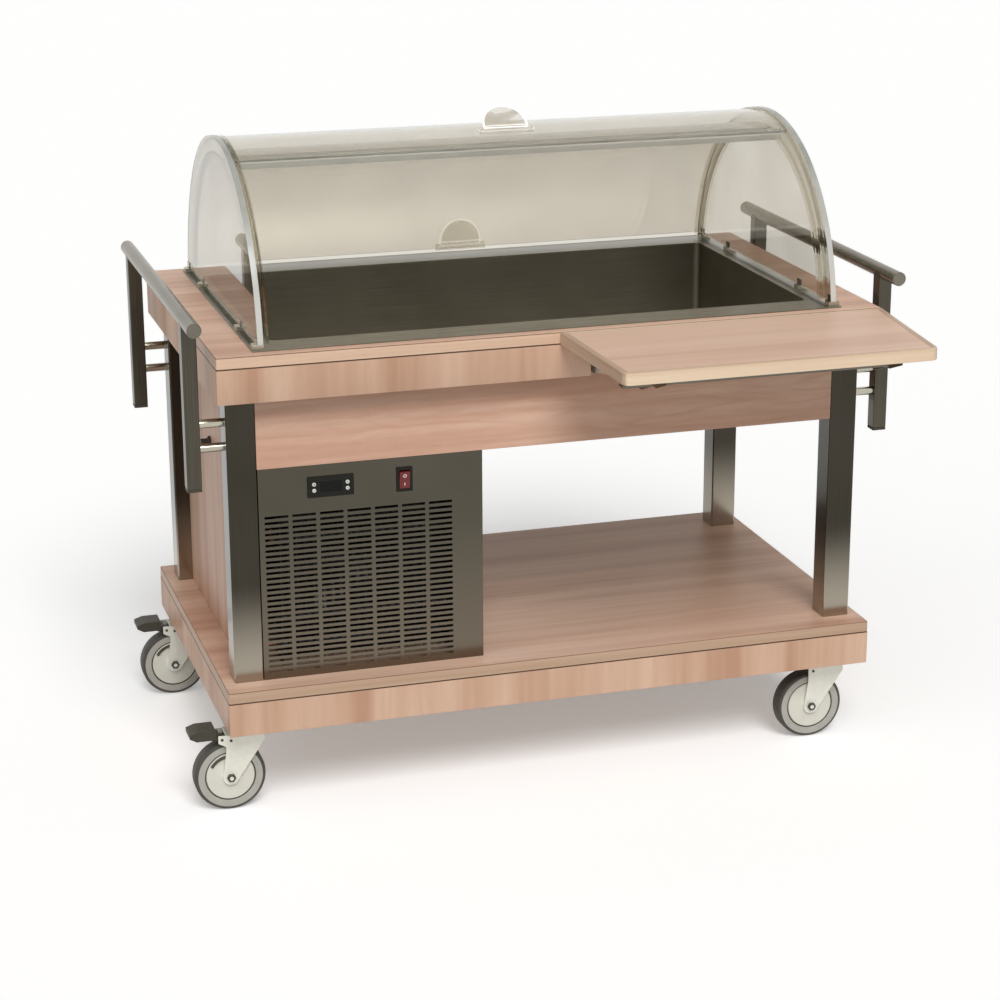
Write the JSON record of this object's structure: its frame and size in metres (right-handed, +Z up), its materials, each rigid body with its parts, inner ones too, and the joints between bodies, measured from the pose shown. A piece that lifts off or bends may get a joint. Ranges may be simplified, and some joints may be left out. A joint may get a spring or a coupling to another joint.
{
  "type": "serving trolley",
  "caption": "Wooden serving trolley with a refrigerated well under a clear roll-top dome, a drop leaf, a cooling unit, push handles and swivel casters.",
  "frame": {"origin": "on the floor, under the middle of the whole trolley with its leaf up", "axes": "+X along the length to the right, -Y to the front where the leaf is, +Z up"},
  "size_m": [1.2876, 0.99, 1.1543],
  "materials": {
    "wood": "light steamed beech veneer, satin lacquer",
    "steel": "satin stainless steel",
    "zinc": "zinc plated sheet steel",
    "acrylic": "clear cast acrylic",
    "black_plastic": "black moulded plastic",
    "tyre": "grey rubber tread on a plastic core",
    "copper": "copper pipe",
    "foam": "rigid polyurethane foam",
    "fins": "plain aluminium fins",
    "black_paint": "black enamel",
    "grey_plastic": "pale grey moulded plastic",
    "red_plastic": "red translucent plastic"
  },
  "bodies": {
    "frame": {"deck_panel": "wood", "deck_rails": "wood", "caster_blocks": "wood", "legs": "steel", "top_panel": "wood", "top_front_rail": "wood", "top_rails": "wood", "front_apron": "wood", "aprons": "wood", "left_side_panel": "wood", "cooling_front": "steel", "cooling_casing": "steel", "compressor": "black_paint", "condenser": "fins", "fan_shroud": "black_paint", "fan_motor": "black_paint", "refrigerant_pipes": "copper", "controller": "black_plastic", "switch_frame": "black_plastic", "cord_gland": "black_plastic", "well_rim": "steel", "well": "steel", "insulation": "foam", "evaporator": "copper", "drain_pipe": "grey_plastic", "end_panels": "acrylic", "panel_clips": "steel", "cover_guides": "acrylic", "hinge_fixed_leaves": "steel", "wall_brackets": "steel", "push_handles": "steel", "handle_caps": "black_plastic", "caster_plates": "zinc"},
    "front_cover": {"front_cover": "acrylic", "front_cover_bar": "acrylic", "front_cover_handle": "acrylic"},
    "rear_cover": {"rear_cover": "acrylic", "rear_cover_bar": "acrylic", "rear_cover_handle": "acrylic"},
    "leaf": {"leaf": "wood", "hinge_moving_leaves": "steel", "leaf_arms": "steel"},
    "brace_left": {"brace_left": "zinc"},
    "brace_right": {"brace_right": "zinc"},
    "fan_rotor": {"fan_rotor": "grey_plastic"},
    "rocker_switch": {"rocker_switch": "red_plastic"},
    "button_set": {"button_set": "grey_plastic"},
    "button_up": {"button_up": "grey_plastic"},
    "button_down": {"button_down": "grey_plastic"},
    "button_defrost": {"button_defrost": "grey_plastic"},
    "fork_front_left": {"fork_front_left": "zinc"},
    "wheel_front_left": {"wheel_front_left": "tyre"},
    "fork_front_right": {"fork_front_right": "zinc"},
    "wheel_front_right": {"wheel_front_right": "tyre"},
    "fork_back_left": {"fork_back_left": "zinc"},
    "wheel_back_left": {"wheel_back_left": "tyre"},
    "fork_back_right": {"fork_back_right": "zinc"},
    "wheel_back_right": {"wheel_back_right": "tyre"},
    "pedal_front": {"pedal_front": "black_plastic"},
    "pedal_back": {"pedal_back": "black_plastic"}
  },
  "joints": [
    {"name": "front_cover_roll", "type": "hinge", "parent": "frame", "child": "front_cover", "pos_m": [0.00825, 0.1475, 0.8], "axis": [1, 0, 0], "range_deg": [0, 62]},
    {"name": "rear_cover_roll", "type": "hinge", "parent": "frame", "child": "rear_cover", "pos_m": [0.00825, 0.1475, 0.8], "axis": [1, 0, 0], "range_deg": [0, 62]},
    {"name": "leaf_fold", "type": "hinge", "parent": "frame", "child": "leaf", "pos_m": [0.30225, -0.204, 0.7965], "axis": [1, 0, 0], "range_deg": [0, 90]},
    {"name": "brace_left_fold", "type": "hinge", "parent": "frame", "child": "brace_left", "pos_m": [0.07725, -0.1905, 0.75], "axis": [1, 0, 0], "range_deg": [0, 99.43]},
    {"name": "brace_right_fold", "type": "hinge", "parent": "frame", "child": "brace_right", "pos_m": [0.48825, -0.1905, 0.75], "axis": [1, 0, 0], "range_deg": [0, 99.43]},
    {"name": "fan_spin", "type": "hinge", "parent": "frame", "child": "fan_rotor", "pos_m": [-0.31475, -0.0205, 0.363], "axis": [0, 1, 0], "continuous": true},
    {"name": "rocker_tilt", "type": "hinge", "parent": "frame", "child": "rocker_switch", "pos_m": [-0.25725, -0.1515, 0.573], "axis": [1, 0, 0], "range_deg": [-12, 0]},
    {"name": "button_set_press", "type": "slide", "parent": "frame", "child": "button_set", "axis": [0, 1, 0], "range_m": [0, 0.0008], "stiffness_N_per_m": 400},
    {"name": "button_up_press", "type": "slide", "parent": "frame", "child": "button_up", "axis": [0, 1, 0], "range_m": [0, 0.0008], "stiffness_N_per_m": 400},
    {"name": "button_down_press", "type": "slide", "parent": "frame", "child": "button_down", "axis": [0, 1, 0], "range_m": [0, 0.0008], "stiffness_N_per_m": 400},
    {"name": "button_defrost_press", "type": "slide", "parent": "frame", "child": "button_defrost", "axis": [0, 1, 0], "range_m": [0, 0.0008], "stiffness_N_per_m": 400},
    {"name": "swivel_front_left", "type": "hinge", "parent": "frame", "child": "fork_front_left", "pos_m": [-0.53475, -0.1335, 0.146], "axis": [0, 0, 1], "continuous": true},
    {"name": "roll_front_left", "type": "hinge", "parent": "fork_front_left", "child": "wheel_front_left", "pos_m": [-0.57475, -0.1335, 0.0625], "axis": [0, 1, 0], "continuous": true},
    {"name": "swivel_front_right", "type": "hinge", "parent": "frame", "child": "fork_front_right", "pos_m": [0.55125, -0.1335, 0.146], "axis": [0, 0, 1], "continuous": true},
    {"name": "roll_front_right", "type": "hinge", "parent": "fork_front_right", "child": "wheel_front_right", "pos_m": [0.51125, -0.1335, 0.0625], "axis": [0, 1, 0], "continuous": true},
    {"name": "pedal_front_press", "type": "hinge", "parent": "fork_front_left", "child": "pedal_front", "pos_m": [-0.57475, -0.1335, 0.1317], "axis": [0, -1, 0], "range_deg": [0, 12]},
    {"name": "swivel_back_left", "type": "hinge", "parent": "frame", "child": "fork_back_left", "pos_m": [-0.53475, 0.4285, 0.146], "axis": [0, 0, 1], "continuous": true},
    {"name": "roll_back_left", "type": "hinge", "parent": "fork_back_left", "child": "wheel_back_left", "pos_m": [-0.57475, 0.4285, 0.0625], "axis": [0, 1, 0], "continuous": true},
    {"name": "swivel_back_right", "type": "hinge", "parent": "frame", "child": "fork_back_right", "pos_m": [0.55125, 0.4285, 0.146], "axis": [0, 0, 1], "continuous": true},
    {"name": "roll_back_right", "type": "hinge", "parent": "fork_back_right", "child": "wheel_back_right", "pos_m": [0.51125, 0.4285, 0.0625], "axis": [0, 1, 0], "continuous": true},
    {"name": "pedal_back_press", "type": "hinge", "parent": "fork_back_left", "child": "pedal_back", "pos_m": [-0.57475, 0.4285, 0.1317], "axis": [0, -1, 0], "range_deg": [0, 12]}
  ],
  "couplings": [
    {"joint": "brace_left_fold", "follows": "leaf_fold", "ratio": 1.0992},
    {"joint": "brace_right_fold", "follows": "leaf_fold", "ratio": 1.0992}
  ]
}
